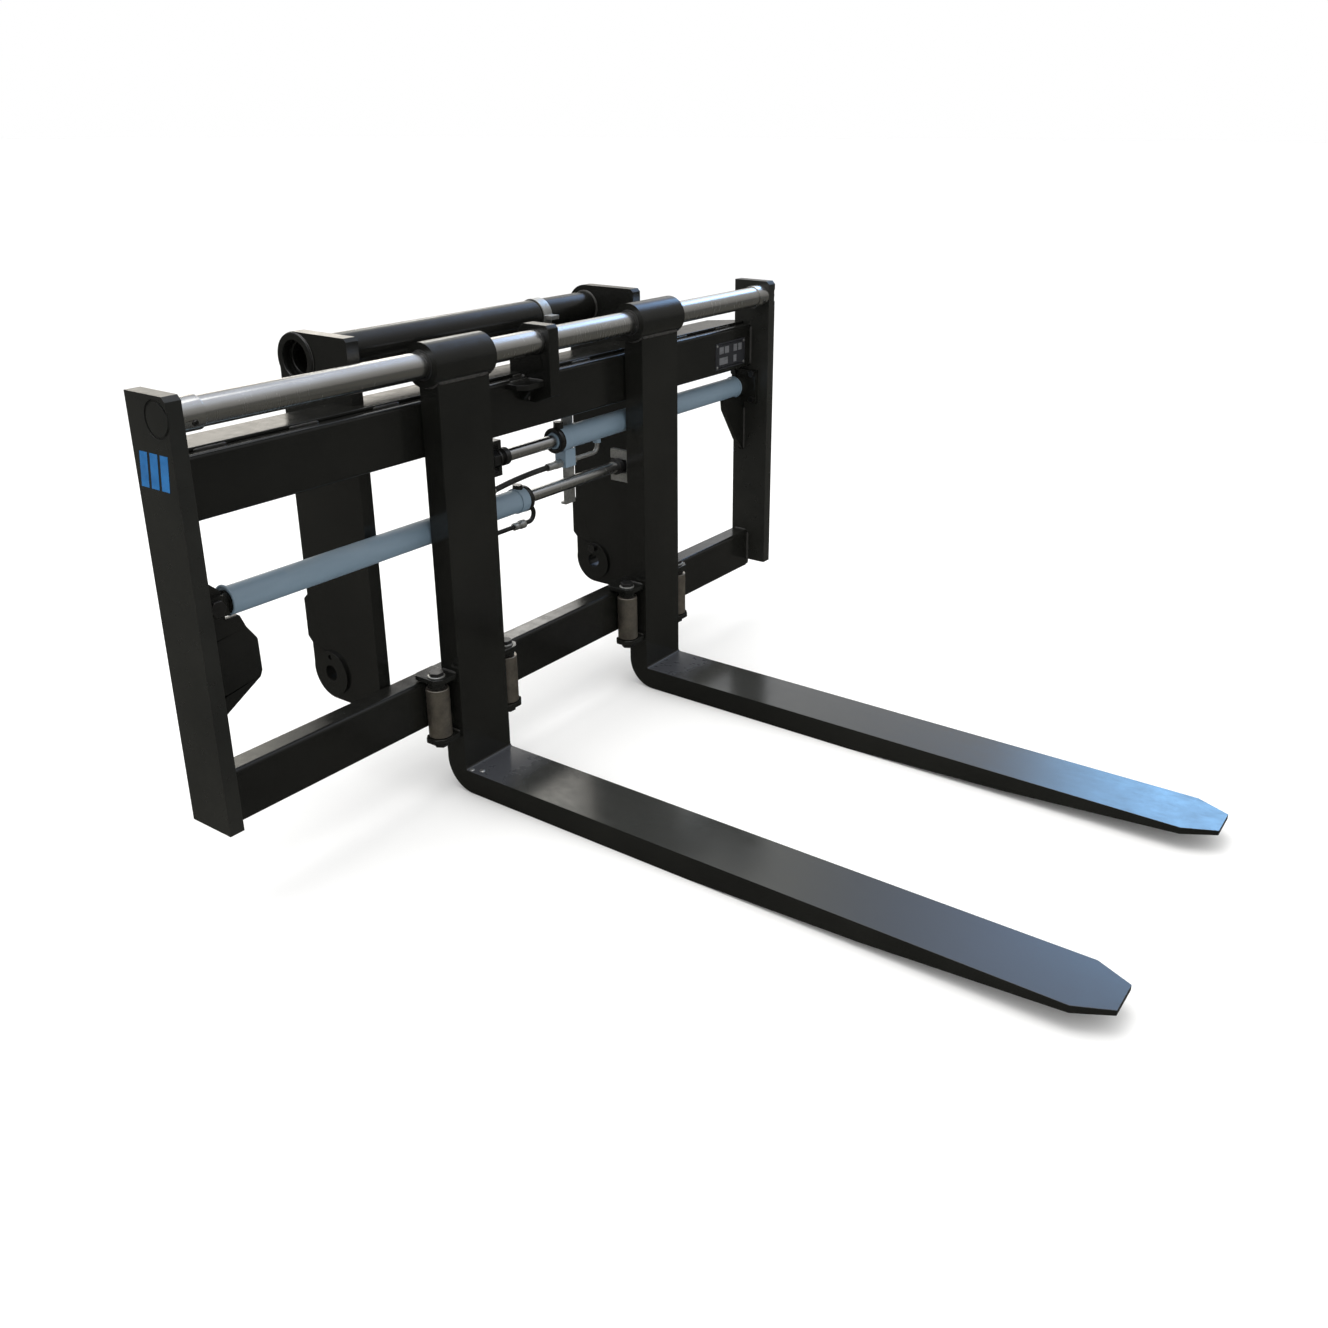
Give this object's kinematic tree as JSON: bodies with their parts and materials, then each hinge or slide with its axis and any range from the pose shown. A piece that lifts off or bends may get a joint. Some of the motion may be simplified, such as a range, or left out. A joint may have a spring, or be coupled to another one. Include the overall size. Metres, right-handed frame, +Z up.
{
  "type": "pallet fork attachment",
  "caption": "Hydraulic fork positioner: L-shaped forks slide on a round shaft in a steel carriage, each moved by its own cylinder, with a rear hook-on tube and lock-pin bosses.",
  "frame": {"origin": "on the ground under the middle of the part: centred on its overall width and length, at the underside of the fork blades", "axes": "+X across the carriage to its right, -Y towards the fork tips, +Z up"},
  "size_m": [1.5508, 1.478, 0.844],
  "materials": {
    "black_paint": "semi-gloss black paint over hot-rolled steel",
    "chrome_bar": "ground and hard-chromed bar",
    "roller_steel": "turned steel, lightly worn",
    "zinc_steel": "zinc plated",
    "blue_grey_paint": "satin blue-grey cylinder paint",
    "bronze": "machined bearing bronze",
    "dark_steel": "black-oxide machined steel",
    "rubber_hose": "smooth hydraulic hose cover",
    "plate_metal": "anodised, blank",
    "blue_mark": "vinyl film"
  },
  "bodies": {
    "carriage": {"left_side_plate": "black_paint", "right_side_plate": "black_paint", "upper_beam": "black_paint", "beam_flange": "black_paint", "lower_beam": "black_paint", "fork_shaft": "chrome_bar", "left_collar": "chrome_bar", "right_collar": "chrome_bar", "centre_bracket": "black_paint", "bracket_gusset": "black_paint", "left_hanger": "black_paint", "right_hanger": "black_paint", "coupler_tube": "black_paint", "coupler_rings": "black_paint", "left_boss": "black_paint", "right_boss": "black_paint", "lock_keepers": "dark_steel", "tube_clip": "zinc_steel", "anchor_tab": "black_paint", "left_anchor": "black_paint", "right_saddle": "black_paint", "lower_barrel": "blue_grey_paint", "lower_gland": "blue_grey_paint", "lower_clevis": "black_paint", "lower_pin": "dark_steel", "upper_barrel": "blue_grey_paint", "upper_gland": "blue_grey_paint", "upper_base": "black_paint", "carriage_bolts": "dark_steel", "port_block": "blue_grey_paint", "gland_plugs": "black_paint", "jumper_hose": "rubber_hose", "hose_fittings": "zinc_steel", "lower_pipe": "black_paint", "upper_pipe": "zinc_steel", "hose_strap": "zinc_steel", "data_plate": "plate_metal", "side_marks": "blue_mark"},
    "left_drive": {"left_rod": "chrome_bar", "left_piston": "dark_steel", "left_rod_nuts": "dark_steel"},
    "left_fork": {"left_fork_arm": "black_paint", "left_eye": "black_paint", "left_bushes": "bronze", "left_drive_lug": "black_paint", "left_roller_mounts": "black_paint", "left_roller_bolts": "dark_steel"},
    "left_outer_roller": {"left_outer_roller": "roller_steel"},
    "left_inner_roller": {"left_inner_roller": "roller_steel"},
    "right_drive": {"right_rod": "chrome_bar", "right_piston": "dark_steel", "right_rod_nuts": "dark_steel"},
    "right_fork": {"right_fork_arm": "black_paint", "right_eye": "black_paint", "right_bushes": "bronze", "right_drive_lug": "zinc_steel", "right_roller_mounts": "black_paint", "right_roller_bolts": "dark_steel"},
    "right_inner_roller": {"right_inner_roller": "roller_steel"},
    "right_outer_roller": {"right_outer_roller": "roller_steel"}
  },
  "joints": [
    {"name": "left_shift", "type": "slide", "parent": "carriage", "child": "left_drive", "axis": [1, 0, 0], "range_m": [-0.405, 0.085]},
    {"name": "left_float", "type": "hinge", "parent": "left_drive", "child": "left_fork", "pos_m": [-0.225, 0.487, 0.795], "axis": [-1, 0, 0], "range_deg": [0, 5]},
    {"name": "left_outer_roller_spin", "type": "hinge", "parent": "left_fork", "child": "left_outer_roller", "pos_m": [-0.314, 0.4886, 0.171], "axis": [0, 0, 1], "range_deg": [-1105.1, 232.1]},
    {"name": "left_inner_roller_spin", "type": "hinge", "parent": "left_fork", "child": "left_inner_roller", "pos_m": [-0.136, 0.4886, 0.171], "axis": [0, 0, 1], "range_deg": [-1105.1, 232.1]},
    {"name": "right_shift", "type": "slide", "parent": "carriage", "child": "right_drive", "axis": [1, 0, 0], "range_m": [-0.205, 0.3]},
    {"name": "right_float", "type": "hinge", "parent": "right_drive", "child": "right_fork", "pos_m": [0.33, 0.487, 0.795], "axis": [-1, 0, 0], "range_deg": [0, 5]},
    {"name": "right_outer_roller_spin", "type": "hinge", "parent": "right_fork", "child": "right_outer_roller", "pos_m": [0.419, 0.4886, 0.171], "axis": [0, 0, 1], "range_deg": [-559.5, 818.7]},
    {"name": "right_inner_roller_spin", "type": "hinge", "parent": "right_fork", "child": "right_inner_roller", "pos_m": [0.241, 0.4886, 0.171], "axis": [0, 0, 1], "range_deg": [-559.5, 818.7]}
  ],
  "couplings": [
    {"joint": "left_outer_roller_spin", "follows": "left_shift", "rad_per_m": 47.619},
    {"joint": "left_inner_roller_spin", "follows": "left_shift", "rad_per_m": 47.619},
    {"joint": "right_outer_roller_spin", "follows": "right_shift", "rad_per_m": 47.619},
    {"joint": "right_inner_roller_spin", "follows": "right_shift", "rad_per_m": 47.619}
  ]
}
